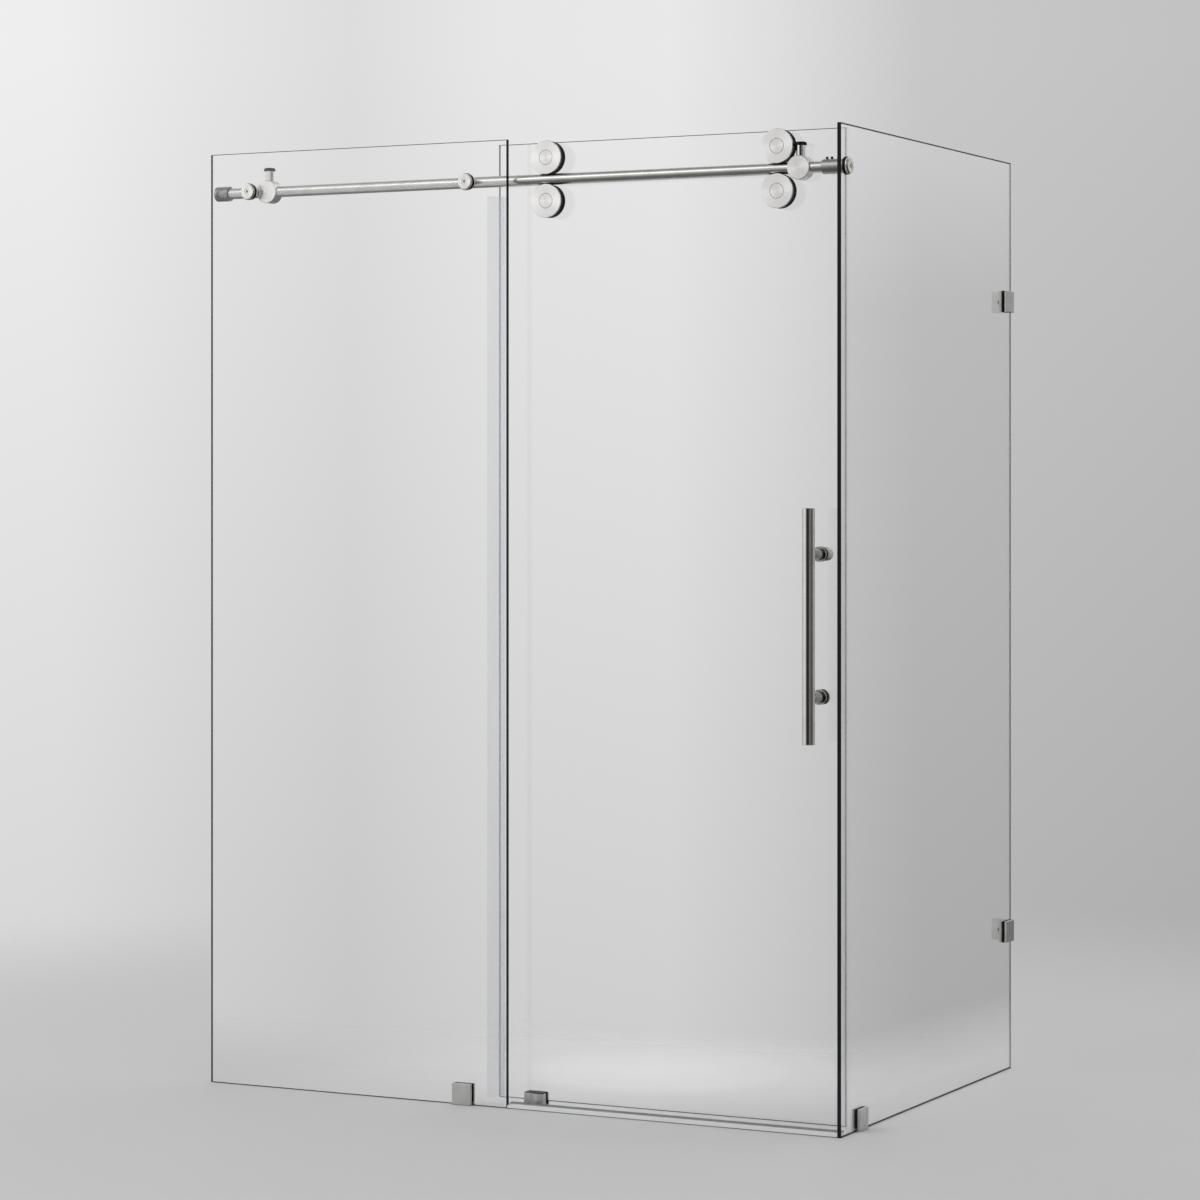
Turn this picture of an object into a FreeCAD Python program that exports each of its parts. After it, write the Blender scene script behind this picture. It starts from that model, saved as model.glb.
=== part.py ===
import FreeCAD, Part
import math
import os
import Sketcher

# Corner shower enclosure with a sliding glass door on a round rail
# The front run lies along X and the side glass along Y. The part stands on the floor at Z zero,
# with its origin under the middle of its box. In the names and formulas below, X is measured from the
# left wall, Y from the front face of the fixed glass towards the rear wall, and Z from the floor.

SIZES = {
    # Glass
    "front_width": 1400.0,
    "side_depth": 910.0,
    "glass_height": 1900.0,
    "glass": 8.0,
    "arris": 0.8,
    "fixed_width": 690.0,
    "bolt_hole": 14.0,
    "clamp_hole": 10.0,
    # Door glass
    "door_overlap": 42.0,
    "door_side_gap": 9.0,
    "door_lift": 12.5,
    "door_top_drop": 5.0,
    # Rail and what holds its ends
    "rail_dia": 22.0,
    "rail_drop": 79.0,
    "rail_glass_gap": 11.0,
    "rail_door_gap": 6.5,
    "socket_dia": 30.0,
    "socket_length": 30.0,
    "socket_floor": 5.0,
    "screw_head_room": 8.0,
    "mouth_bevel": 1.5,
    "wall_screw_hole": 5.5,
    "collar_dia": 28.5,
    "collar_length": 39.0,
    "collar_floor": 9.0,
    "collar_bevel": 0.8,
    "grub_dia": 5.0,
    "grub_proud": 4.0,
    "grub_inset": 7.5,
    "grub_pitch": 10.0,
    "grub_key": 2.5,
    "grub_key_depth": 1.2,
    # Standoffs and round caps
    "standoff_inset": 92.0,
    "gasket": 1.5,
    "cap_dia": 32.0,
    "cap_face_dia": 28.0,
    "cap_gasket_dia": 34.0,
    "cap_depth": 6.0,
    "cap_rim": 2.5,
    "bolt_dia": 8.0,
    "bolt_head_dia": 13.0,
    "bolt_head": 4.0,
    "bolt_recess": 0.6,
    "bolt_bite": 8.0,
    "hex_key": 5.0,
    "hex_depth": 2.8,
    "boss_dia": 17.0,
    "boss_flange_dia": 31.0,
    "boss_flange": 3.0,
    # Stoppers on the rail
    "stop_clear": 1.5,
    "puck_dia": 46.0,
    "puck_depth": 28.0,
    "puck_bevel": 0.8,
    "pin_dia": 17.0,
    "pin_stem_dia": 12.0,
    "pin_sink": 4.0,
    "pin_neck_dia": 9.0,
    "pin_neck": 4.0,
    "bumper_dia": 23.4,
    "bumper_depth": 6.5,
    "bumper_round": 1.5,
    "bumper_crown": 4.0,
    "bumper_gap": 0.3,
    # Rollers
    "tread_radius": 31.5,
    "pass_gap": 1.0,
    "wheel_step": 0.5,
    "flange_tip": 4.0,
    "groove_gap": 0.3,
    "disc_depth": 2.5,
    "disc_bevel": 0.6,
    "hub_dia": 28.0,
    "hub_gap": 0.7,
    "hub_depth": 2.1,
    "bearing_bore": 10.0,
    "bearing_dia": 26.0,
    "bearing_width": 8.0,
    "bearing_lip": 2.0,
    "race": 2.6,
    "shield_recess": 0.6,
    "axle_shoulder_dia": 16.0,
    "spacer_dia": 18.0,
    "spacer_flange_dia": 30.0,
    "spacer_flange": 3.0,
    "sleeve_gap": 0.4,
    "back_cap_dia": 30.0,
    "back_cap_depth": 8.0,
    "back_cap_bevel": 2.0,
    "axle_bite": 5.0,
    "roller_left_inset": 118.0,
    "roller_right_inset": 123.0,
    # Handle
    "bar_dia": 25.0,
    "bar_length": 444.0,
    "bar_bevel": 0.8,
    "handle_inset": 44.5,
    "handle_reach": 59.0,
    "handle_height": 956.0,
    "post_pitch": 270.0,
    "post_dia": 22.0,
    "post_collar_dia": 29.0,
    "post_collar": 4.5,
    "post_groove": 1.2,
    "post_groove_depth": 1.2,
    "stud_dia": 8.0,
    "stud_bite": 8.0,
    "stud_end": 3.4,
    "handle_pad": 5.0,
    "knob_dia": 26.0,
    "knob_depth": 31.0,
    "knob_base": 3.5,
    "knob_neck": 1.5,
    "knob_neck_dia": 22.0,
    "knob_round": 9.0,
    "flat_cap_depth": 6.0,
    "flat_cap_bevel": 1.0,
    # Clamps
    "clamp_plate": 5.0,
    "clamp_round": 1.0,
    "pad": 2.5,
    "floor_clamp": 42.0,
    "floor_clamp_front_inset": 99.0,
    "floor_clamp_side_inset": 95.0,
    "tongue_width": 36.0,
    "tongue_height": 6.0,
    "notch_gap": 1.0,
    "floor_screw_hole": 5.2,
    "clamp_screw_rise": 26.0,
    "clamp_screw_dia": 6.0,
    "clamp_screw_sink": 2.5,
    "clamp_screw_bite": 3.4,
    "clamp_key": 3.0,
    "clamp_key_depth": 1.6,
    "wall_clamp": 44.0,
    "wall_clamp_reach": 44.0,
    "wall_leg": 38.5,
    "wall_clamp_low": 290.0,
    "wall_clamp_top_drop": 292.0,
    # Door guide and sill
    "guide_inset": 82.5,
    "guide_length": 43.0,
    "guide_height": 27.5,
    "guide_front": 10.0,
    "guide_flat": 14.0,
    "guide_bulge": 5.5,
    "guide_rear": 3.0,
    "guide_floor": 5.0,
    "liner_wall": 1.5,
    "liner_play": 0.3,
    "liner_lid": 1.5,
    "guide_screw_hole": 4.5,
    "guide_screw_pitch": 26.0,
    "sill_depth": 20.0,
    "sill_front": 5.5,
    "sill_back": 11.0,
    "sill_crest": 4.0,
    # Door seals
    "seal_wall": 1.5,
    "seal_grip": 12.0,
    "fin_lean": 9.6,
    "fin_tip": 1.0,
    "fin_clear": 0.4,
    "fin_rise": 2.0,
    "fin_rail_gap": 17.5,
    "lead_fin": 2.0,
    "lead_gap": 0.3,
    "lead_drop": 3.5,
    # Clearances and the overrun of cuts
    "fit_gap": 0.05,
    "run_gap": 0.05,
    "seat_gap": 0.3,
    "overrun": 1.0,
}


class Size:
    """A length that knows its value and the sheet formula it comes from."""

    def __init__(self, formula, value):
        self.formula = formula
        self.value = value

    def joined(self, sign, other, value):
        return Size("(%s %s %s)" % (self.formula, sign, other.formula), value)

    def __add__(self, other):
        other = as_size(other)
        return self.joined("+", other, self.value + other.value)

    def __sub__(self, other):
        other = as_size(other)
        return self.joined("-", other, self.value - other.value)

    def __mul__(self, other):
        other = as_size(other)
        return self.joined("*", other, self.value * other.value)

    def __truediv__(self, other):
        other = as_size(other)
        return self.joined("/", other, self.value / other.value)

    def __rmul__(self, factor):
        return as_size(factor) * self

    def __neg__(self):
        return as_size(0) - self


def as_size(number):
    """Zero and plain factors join formulas as they are."""
    if isinstance(number, Size):
        return number
    return Size(str(number), float(number))


def root(size):
    return Size("sqrt(%s)" % size.formula, math.sqrt(size.value))


doc = FreeCAD.newDocument("ShowerEnclosure")
sheet = doc.addObject("Spreadsheet::Sheet", "Sizes")
for row, (alias, number) in enumerate(SIZES.items(), start=1):
    sheet.set("A%d" % row, alias)
    sheet.set("B%d" % row, str(number))
    sheet.setAlias("B%d" % row, alias)
doc.recompute()


class Names:
    """The driving sizes as attributes."""


s = Names()
for alias, number in SIZES.items():
    setattr(s, alias, Size("Sizes." + alias, number))

NONE = as_size(0)
NEAR = 1e-6
ROUGH = 1e-3

X = FreeCAD.Vector(1, 0, 0)
Y = FreeCAD.Vector(0, 1, 0)
Z = FreeCAD.Vector(0, 0, 1)

# Which way a piece's own Z points, with its own Y up wherever it can be
FACING = {
    "up": FreeCAD.Rotation(X, Y, Z, "ZXY"),
    "down": FreeCAD.Rotation(X, -Y, -Z, "ZXY"),
    "front": FreeCAD.Rotation(X, Z, -Y, "ZXY"),
    "rear": FreeCAD.Rotation(-X, Z, Y, "ZXY"),
    "right": FreeCAD.Rotation(Y, Z, X, "ZXY"),
    "left": FreeCAD.Rotation(-Y, Z, -X, "ZXY"),
}


# Places worked out from the sizes

half_rail = s.rail_dia / 2
rail_y = s.glass + s.rail_glass_gap + half_rail
rail_z = s.glass_height - s.rail_drop
rail_start = s.socket_floor + s.screw_head_room
side_inner = s.front_width - s.glass
collar_end = side_inner - s.gasket
collar_start = collar_end - s.collar_length
rail_end = collar_end - s.collar_floor - s.seat_gap

door_left = s.fixed_width - s.door_overlap
door_right = side_inner - s.door_side_gap
door_front = rail_y + half_rail + s.rail_door_gap
door_back = door_front + s.glass
door_middle = door_front + s.glass / 2
door_top = s.glass_height - s.door_top_drop

roller_rise = half_rail + s.tread_radius
disc_radius = roller_rise - s.boss_dia / 2 - s.pass_gap
wheel_radius = disc_radius - s.wheel_step
groove_radius = half_rail + s.groove_gap
flange_reach = roller_rise - wheel_radius
wheel_half = root(groove_radius * groove_radius - flange_reach * flange_reach) + s.flange_tip
wheel_front = rail_y - wheel_half
disc_front = wheel_front - s.disc_depth
roller_left = door_left + s.roller_left_inset
roller_right = door_right - s.roller_right_inset

standoff_left = s.standoff_inset
standoff_right = s.fixed_width - s.standoff_inset
stop_left = standoff_left + s.boss_dia / 2 + s.stop_clear + s.puck_dia / 2
stop_right = roller_right + disc_radius + s.bumper_gap + s.bumper_dia / 2
door_travel = roller_left - disc_radius - s.bumper_gap - s.bumper_dia / 2 - stop_left

handle_x = door_right - s.handle_inset
bar_y = door_front - s.handle_reach
post_heights = (s.handle_height - s.post_pitch / 2, s.handle_height + s.post_pitch / 2)

clamp_front_x = s.fixed_width - s.floor_clamp_front_inset
clamp_grip = 2 * s.pad + s.glass
wall_clamp_heights = (s.wall_clamp_low, s.glass_height - s.wall_clamp_top_drop)
wall_screw_y = s.side_depth - s.wall_clamp_reach / 2
guide_x = door_left + s.guide_inset
fin_reach = door_front - s.glass - s.pad - s.clamp_plate - s.fin_clear

# Middle of the box: the left wall, the outer cap, the handle bar and the rear wall bound it
middle_x = (s.front_width + s.gasket + s.cap_depth) / 2
middle_y = (s.side_depth + bar_y - s.bar_dia / 2) / 2


def bind(item, path, size):
    """Drive one property of an object by its formula."""
    item.setExpression(path, size.formula)


def place(item, x, y, z, facing="up"):
    """Put a piece at its place, turned to its direction."""
    spots = (as_size(x) - middle_x, as_size(y) - middle_y, as_size(z))
    base = FreeCAD.Vector(*[spot.value for spot in spots])
    item.Placement = FreeCAD.Placement(base, FACING[facing])
    for axis, spot in zip("xyz", spots):
        bind(item, "Placement.Base." + axis, spot)
    return item


def new_body(label):
    body = doc.addObject("PartDesign::Body", label)
    body.Label = label
    return body


def new_sketch(body, role, rise=None):
    """A sketch on one of the body's own origin planes, raised along the plane's normal."""
    sketch = body.newObject("Sketcher::SketchObject", body.Name + "_sketch")
    base = [item for item in body.Origin.OriginFeatures if item.Role == role][0]
    sketch.AttachmentSupport = [(base, "")]
    sketch.MapMode = "FlatFace"
    if rise is not None:
        bind(sketch, "AttachmentOffset.Base.z", rise)
    return sketch


def fix(sketch, kind, geometry, point, size):
    """Fix one coordinate of a point from the sketch's origin."""
    index = sketch.addConstraint(Sketcher.Constraint(kind, -1, 1, geometry, point, size.value))
    bind(sketch, "Constraints[%d]" % index, size)


def outline(sketch, corners):
    """A closed outline. A corner with a centre is reached by an arc about that centre."""
    spots = [tuple(as_size(size) for size in corner) for corner in corners]
    flat = [FreeCAD.Vector(spot[0].value, spot[1].value, 0) for spot in spots]
    starts = []
    ends = []
    for index, spot in enumerate(spots):
        first = flat[index - 1]
        last = flat[index]
        if len(spot) == 2:
            sketch.addGeometry(Part.LineSegment(first, last))
            starts.append(1)
            ends.append(2)
            continue
        centre = FreeCAD.Vector(spot[2].value, spot[3].value, 0)
        circle = Part.Circle(centre, Z, (last - centre).Length)
        begin = math.atan2(first.y - centre.y, first.x - centre.x)
        finish = math.atan2(last.y - centre.y, last.x - centre.x)
        turning_left = (finish - begin) % (2 * math.pi) < math.pi
        if not turning_left:
            begin, finish = finish, begin
        sketch.addGeometry(Part.ArcOfCircle(circle, begin, finish))
        starts.append(1 if turning_left else 2)
        ends.append(2 if turning_left else 1)
    for index, spot in enumerate(spots):
        following = (index + 1) % len(spots)
        joint = Sketcher.Constraint("Coincident", index, ends[index], following, starts[following])
        sketch.addConstraint(joint)
        if len(spot) == 2:
            fix(sketch, "DistanceX", index, ends[index], spot[0])
            fix(sketch, "DistanceY", index, ends[index], spot[1])
            continue
        arm = flat[index] - FreeCAD.Vector(spot[2].value, spot[3].value, 0)
        if abs(arm.y) > abs(arm.x):
            fix(sketch, "DistanceX", index, ends[index], spot[0])
        else:
            fix(sketch, "DistanceY", index, ends[index], spot[1])
        fix(sketch, "DistanceX", index, 3, spot[2])
        fix(sketch, "DistanceY", index, 3, spot[3])


def circles(sketch, spots, diameter):
    for x, y in spots:
        x = as_size(x)
        y = as_size(y)
        centre = FreeCAD.Vector(x.value, y.value, 0)
        index = sketch.addGeometry(Part.Circle(centre, Z, diameter.value / 2))
        fix(sketch, "DistanceX", index, 3, x)
        fix(sketch, "DistanceY", index, 3, y)
        constraint = Sketcher.Constraint("Diameter", index, diameter.value)
        bind(sketch, "Constraints[%d]" % sketch.addConstraint(constraint), diameter)


def turned(label, profile):
    """A body turned about its own Z from corners of radius and height."""
    body = new_body(label)
    sketch = new_sketch(body, "XZ_Plane")
    outline(sketch, profile)
    turn = body.newObject("PartDesign::Revolution", label + "_turn")
    turn.Profile = sketch
    turn.ReferenceAxis = (sketch, ["V_Axis"])
    turn.Angle = 360
    doc.recompute()
    return body


def padded(label, corners, thickness):
    """A body padded along its own Z from an outline in its XY plane."""
    body = new_body(label)
    sketch = new_sketch(body, "XY_Plane")
    outline(sketch, corners)
    pad = body.newObject("PartDesign::Pad", label + "_pad")
    pad.Profile = sketch
    bind(pad, "Length", thickness)
    doc.recompute()
    return body


def rectangle(left, low, right, high):
    return ((left, low), (right, low), (right, high), (left, high))


def cut(body, sketch, depth=None, reverse=False, both=False):
    """Pocket a sketch, through all where no depth is given."""
    before = body.Shape.Volume
    pocket = body.newObject("PartDesign::Pocket", body.Name + "_cut")
    pocket.Profile = sketch
    pocket.Reversed = reverse
    if both:
        pocket.SideType = "Symmetric"
    if depth is None:
        pocket.Type = "ThroughAll"
    else:
        bind(pocket, "Length", depth)
    doc.recompute()
    if body.Shape.Volume > before - NEAR:
        raise ValueError(body.Label + ": a cut took nothing away")


def drill(body, role, spots, diameter, depth=None, rise=None, reverse=False, both=False):
    """Round holes from one of the body's own planes."""
    sketch = new_sketch(body, role, rise)
    circles(sketch, spots, diameter)
    cut(body, sketch, depth, reverse, both)


def edges(body, test):
    """Names of the edges of the body's last shape that pass a test."""
    shape = body.Tip.Shape
    return ["Edge%d" % (index + 1) for index, edge in enumerate(shape.Edges) if test(edge)]


def dress(body, kind, test, size):
    """Fillet or Chamfer on the edges that pass a test."""
    base = body.Tip
    names = edges(body, test)
    if not names:
        raise ValueError(body.Label + ": no edge to dress")
    feature = body.newObject("PartDesign::" + kind, body.Name + "_" + kind.lower())
    feature.Base = (base, names)
    bind(feature, "Radius" if kind == "Fillet" else "Size", size)
    doc.recompute()


def lies_at(height):
    """Test for an edge that lies level at a height of the body's own Z."""
    def test(edge):
        box = edge.BoundBox
        return abs(box.ZMin - height.value) < NEAR and abs(box.ZMax - height.value) < NEAR
    return test


def rim(radius, height):
    """Test for a whole round rim that lies level at a height of the body's own Z."""
    level = lies_at(height)

    def test(edge):
        return level(edge) and abs(edge.Length - 2 * math.pi * radius.value) < ROUGH
    return test


def grouped(label, members):
    """Like pieces that share one node."""
    group = doc.addObject("Part::Compound", label)
    group.Label = label
    group.Links = members
    doc.recompute()
    return group


parts = []


def keep(item):
    parts.append(item)
    return item


# Glass panels

def notched(width, middle):
    """Outline of a panel with a notch in its foot over a floor clamp's tongue."""
    half = s.tongue_width / 2 + s.notch_gap
    top = s.tongue_height + s.notch_gap
    return (
        (NONE, NONE),
        (middle - half, NONE),
        (middle - half, top),
        (middle + half, top),
        (middle + half, NONE),
        (width, NONE),
        (width, s.glass_height),
        (NONE, s.glass_height),
    )


def glass_panel(label, corners, bolt_spots, clamp_spots=()):
    """A toughened panel with polished edges, drilled for its fittings."""
    body = padded(label, corners, s.glass)
    front = lies_at(s.glass)
    back = lies_at(NONE)
    dress(body, "Chamfer", lambda edge: front(edge) or back(edge), s.arris)
    drill(body, "XY_Plane", bolt_spots, s.bolt_hole, reverse=True)
    if clamp_spots:
        drill(body, "XY_Plane", clamp_spots, s.clamp_hole, reverse=True)
    return keep(body)


standoffs = (("left", standoff_left), ("right", standoff_right))

fixed_panel = glass_panel(
    "fixed_panel_glass",
    notched(s.fixed_width, clamp_front_x),
    [(x, rail_z) for side, x in standoffs],
    [(clamp_front_x, s.clamp_screw_rise)],
)
place(fixed_panel, NONE, s.glass, NONE, "front")

side_clamp_spots = [(s.floor_clamp_side_inset, s.clamp_screw_rise)]
side_clamp_spots += [(wall_screw_y, height) for height in wall_clamp_heights]
side_panel = glass_panel(
    "side_panel_glass",
    notched(s.side_depth, s.floor_clamp_side_inset),
    [(rail_y, rail_z)],
    side_clamp_spots,
)
place(side_panel, side_inner, NONE, NONE, "right")

rollers = []
for side, roller_x in (("left", roller_left), ("right", roller_right)):
    for level, rise in (("upper", roller_rise), ("lower", -roller_rise)):
        rollers.append((side + "_" + level, roller_x, rail_z + rise))

door_holes = [(x - door_left, z - s.door_lift) for name, x, z in rollers]
door_holes += [(handle_x - door_left, height - s.door_lift) for height in post_heights]
door_corners = rectangle(NONE, NONE, door_right - door_left, door_top - s.door_lift)
door_glass = glass_panel("door_glass", door_corners, door_holes)
place(door_glass, door_left, door_back, s.door_lift, "front")


# Small turned fittings that come several times

def bore(diameter):
    """Radius of the hole that a round shank of this diameter goes into."""
    return diameter / 2 + s.fit_gap


def hex_socket(body, key, depth, top):
    """Hexagon socket sunk from the top of a screw's head."""
    reach = key / math.sqrt(3)
    half = key / 2
    sketch = new_sketch(body, "XY_Plane", top)
    corners = (
        (reach, NONE),
        (reach / 2, half),
        (-reach / 2, half),
        (-reach, NONE),
        (-reach / 2, -half),
        (reach / 2, -half),
    )
    outline(sketch, corners)
    cut(body, sketch, depth)


def head_bolt(label, length):
    """Socket head bolt, its own Z zero under the head and the head upwards."""
    shank = s.bolt_dia / 2
    head = s.bolt_head_dia / 2
    profile = (
        (NONE, -length),
        (shank, -length),
        (shank, NONE),
        (head, NONE),
        (head, s.bolt_head),
        (NONE, s.bolt_head),
    )
    body = turned(label, profile)
    hex_socket(body, s.hex_key, s.hex_depth, s.bolt_head)
    return body


def round_cap(label):
    """Cap on the outside of a glass panel, with a sunk seat for the bolt's head."""
    hole = bore(s.bolt_dia)
    seat = bore(s.bolt_head_dia)
    profile = (
        (hole, NONE),
        (s.cap_dia / 2, NONE),
        (s.cap_dia / 2, s.cap_rim),
        (s.cap_face_dia / 2, s.cap_depth),
        (seat, s.cap_depth),
        (seat, cap_seat),
        (hole, cap_seat),
    )
    return turned(label, profile)


def bush(label, shank_dia, flange_dia, flange=s.gasket):
    """Gasket ring with a sleeve that lines half of a bolt hole in the glass."""
    hole = bore(shank_dia)
    sleeve = s.bolt_hole / 2 - s.fit_gap
    length = flange + s.glass / 2 - s.sleeve_gap
    profile = (
        (hole, NONE),
        (flange_dia / 2, NONE),
        (flange_dia / 2, flange),
        (sleeve, flange),
        (sleeve, length),
        (hole, length),
    )
    return turned(label, profile)


def grub(label, length):
    """Headless locking screw, its point at its own Z zero."""
    radius = s.grub_dia / 2 - s.fit_gap
    body = turned(label, rectangle(NONE, NONE, radius, length))
    hex_socket(body, s.grub_key, s.grub_key_depth, length)
    return body


cap_seat = s.cap_depth - s.bolt_recess - s.bolt_head


# Rail with its wall socket and its collar on the side glass

rail_length = rail_end - rail_start
rail_profile = (
    (NONE, NONE),
    (half_rail - s.bar_bevel, NONE),
    (half_rail, s.bar_bevel),
    (half_rail, rail_length - s.bar_bevel),
    (half_rail - s.bar_bevel, rail_length),
    (NONE, rail_length),
)
rail = keep(turned("guide_rail", rail_profile))
bolt_spots = [(NONE, x - rail_start) for side, x in standoffs]
bolt_depth = s.bolt_bite + s.seat_gap
drill(rail, "YZ_Plane", bolt_spots, 2 * bore(s.bolt_dia), bolt_depth, rise=-half_rail, reverse=True)
place(rail, rail_start, rail_y, rail_z, "right")

rail_bore = half_rail + s.fit_gap
socket_profile = (
    (s.wall_screw_hole / 2, NONE),
    (s.socket_dia / 2, NONE),
    (s.socket_dia / 2, s.socket_length),
    (rail_bore + s.mouth_bevel, s.socket_length),
    (rail_bore, s.socket_length - s.mouth_bevel),
    (rail_bore, s.socket_floor),
    (s.wall_screw_hole / 2, s.socket_floor),
)
socket = keep(turned("rail_wall_socket", socket_profile))
socket_grub_x = s.socket_length - s.grub_inset
drill(socket, "XZ_Plane", [(NONE, socket_grub_x)], s.grub_dia, reverse=True)
place(socket, NONE, rail_y, rail_z, "right")

collar_radius = s.collar_dia / 2
collar_profile = (
    (rail_bore + s.collar_bevel, NONE),
    (collar_radius - s.collar_bevel, NONE),
    (collar_radius, s.collar_bevel),
    (collar_radius, s.collar_length),
    (bore(s.bolt_dia), s.collar_length),
    (bore(s.bolt_dia), s.collar_length - s.collar_floor),
    (rail_bore, s.collar_length - s.collar_floor),
    (rail_bore, s.collar_bevel),
)
collar = keep(turned("rail_glass_collar", collar_profile))
collar_grubs = [s.grub_inset, s.grub_inset + s.grub_pitch]
drill(collar, "XZ_Plane", [(NONE, spot) for spot in collar_grubs], s.grub_dia)
place(collar, collar_start, rail_y, rail_z, "right")

end_cap = keep(round_cap("rail_end_cap"))
place(end_cap, s.front_width + s.gasket, rail_y, rail_z, "right")
end_bolt_length = cap_seat + s.glass + 2 * s.gasket + s.collar_floor - s.seat_gap
end_bolt = keep(head_bolt("rail_end_bolt", end_bolt_length))
place(end_bolt, s.front_width + s.gasket + cap_seat, rail_y, rail_z, "right")

outer = bush("rail_end_bush_outer", s.bolt_dia, s.cap_gasket_dia)
place(outer, s.front_width + s.gasket, rail_y, rail_z, "left")
inner = bush("rail_end_bush_inner", s.bolt_dia, s.cap_gasket_dia)
place(inner, collar_end, rail_y, rail_z, "right")
keep(grouped("rail_end_gaskets", [outer, inner]))

grubs = []
for index, spot in enumerate(collar_grubs):
    screw = grub("collar_grub_%d" % index, collar_radius - rail_bore + s.grub_proud)
    grubs.append(place(screw, collar_start + spot, rail_y, rail_z + rail_bore))
socket_wall = s.socket_dia / 2 - rail_bore
screw = grub("socket_grub", socket_wall)
grubs.append(place(screw, socket_grub_x, rail_y, rail_z - rail_bore, "down"))


# Standoffs that carry the rail on the fixed panel

def boss(label):
    """Spool between the glass and the rail, its far end hollowed to the rail's round."""
    reach = s.rail_glass_gap + half_rail - s.gasket
    hole = bore(s.bolt_dia)
    profile = (
        (hole, NONE),
        (s.boss_flange_dia / 2, NONE),
        (s.boss_flange_dia / 2, s.boss_flange),
        (s.boss_dia / 2, s.boss_flange),
        (s.boss_dia / 2, reach),
        (hole, reach),
    )
    body = turned(label, profile)
    drill(body, "YZ_Plane", [(NONE, reach)], 2 * rail_bore, both=True)
    return body


standoff_bolts = []
standoff_bushes = []
bolt_length = cap_seat + s.gasket + s.glass + s.rail_glass_gap + s.bolt_bite
for side, x in standoffs:
    cap = keep(round_cap("standoff_cap_" + side))
    place(cap, x, -s.gasket, rail_z, "front")
    spool = keep(boss("standoff_boss_" + side))
    place(spool, x, s.glass + s.gasket, rail_z, "rear")
    bolt = head_bolt("standoff_bolt_" + side, bolt_length)
    standoff_bolts.append(place(bolt, x, -s.gasket - cap_seat, rail_z, "front"))
    outer = bush("standoff_bush_outer_" + side, s.bolt_dia, s.cap_gasket_dia)
    standoff_bushes.append(place(outer, x, -s.gasket, rail_z, "rear"))
    inner = bush("standoff_bush_inner_" + side, s.bolt_dia, s.boss_flange_dia)
    standoff_bushes.append(place(inner, x, s.glass + s.gasket, rail_z, "front"))
keep(grouped("standoff_bolts", standoff_bolts))
keep(grouped("standoff_gaskets", standoff_bushes))


# Stoppers: a puck on the rail, an upright pin and a rubber head that meets the upper roller

puck_radius = s.puck_dia / 2
pin_floor = puck_radius - s.pin_sink
for side, x in (("left", stop_left), ("right", stop_right)):
    half_depth = s.puck_depth / 2
    puck_profile = (
        (NONE, -half_depth),
        (puck_radius - s.puck_bevel, -half_depth),
        (puck_radius, s.puck_bevel - half_depth),
        (puck_radius, half_depth - s.puck_bevel),
        (puck_radius - s.puck_bevel, half_depth),
        (NONE, half_depth),
    )
    puck = keep(turned("stopper_body_" + side, puck_profile))
    drill(puck, "YZ_Plane", [(NONE, NONE)], 2 * rail_bore, both=True)
    drill(puck, "XZ_Plane", [(NONE, NONE)], 2 * bore(s.pin_stem_dia))
    drill(puck, "XZ_Plane", [(NONE, NONE)], 2 * bore(s.pin_dia), rise=-pin_floor)
    drill(puck, "XZ_Plane", [(NONE, NONE)], s.grub_dia, reverse=True)
    place(puck, x, rail_y, rail_z, "front")

    pin_profile = (
        (NONE, half_rail + s.seat_gap),
        (s.pin_stem_dia / 2, half_rail + s.seat_gap),
        (s.pin_stem_dia / 2, pin_floor),
        (s.pin_dia / 2, pin_floor),
        (s.pin_dia / 2, roller_rise),
        (s.pin_neck_dia / 2, roller_rise),
        (s.pin_neck_dia / 2, roller_rise + s.pin_neck),
        (NONE, roller_rise + s.pin_neck),
    )
    pin = keep(turned("stopper_pin_" + side, pin_profile))
    place(pin, x, rail_y, rail_z)

    bumper_profile = (
        (bore(s.pin_neck_dia), NONE),
        (s.bumper_dia / 2, NONE),
        (s.bumper_dia / 2, s.bumper_depth),
        (NONE, s.bumper_depth),
        (NONE, s.pin_neck + s.fit_gap),
        (bore(s.pin_neck_dia), s.pin_neck + s.fit_gap),
    )
    bumper = keep(turned("stopper_bumper_" + side, bumper_profile))
    dress(bumper, "Fillet", rim(s.bumper_dia / 2, s.bumper_depth), s.bumper_crown)
    dress(bumper, "Fillet", rim(s.bumper_dia / 2, NONE), s.bumper_round)
    place(bumper, x, rail_y, rail_z + roller_rise)

    screw = grub("stopper_grub_" + side, puck_radius - rail_bore - s.grub_key_depth)
    grubs.append(place(screw, x, rail_y, rail_z - rail_bore, "down"))
keep(grouped("rail_set_screws", grubs))


# Rollers: a grooved wheel with its bearing and face disc turns on an axle through the door glass

wheel_width = 2 * wheel_half
seat_radius = s.bearing_dia / 2 + s.fit_gap
seat_start = wheel_half - s.bearing_width / 2
axle_radius = s.bearing_bore / 2 - s.run_gap
axle_bore = axle_radius + s.fit_gap
axle_dia = 2 * axle_radius
bearing_back = wheel_front + seat_start + s.bearing_width


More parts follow.
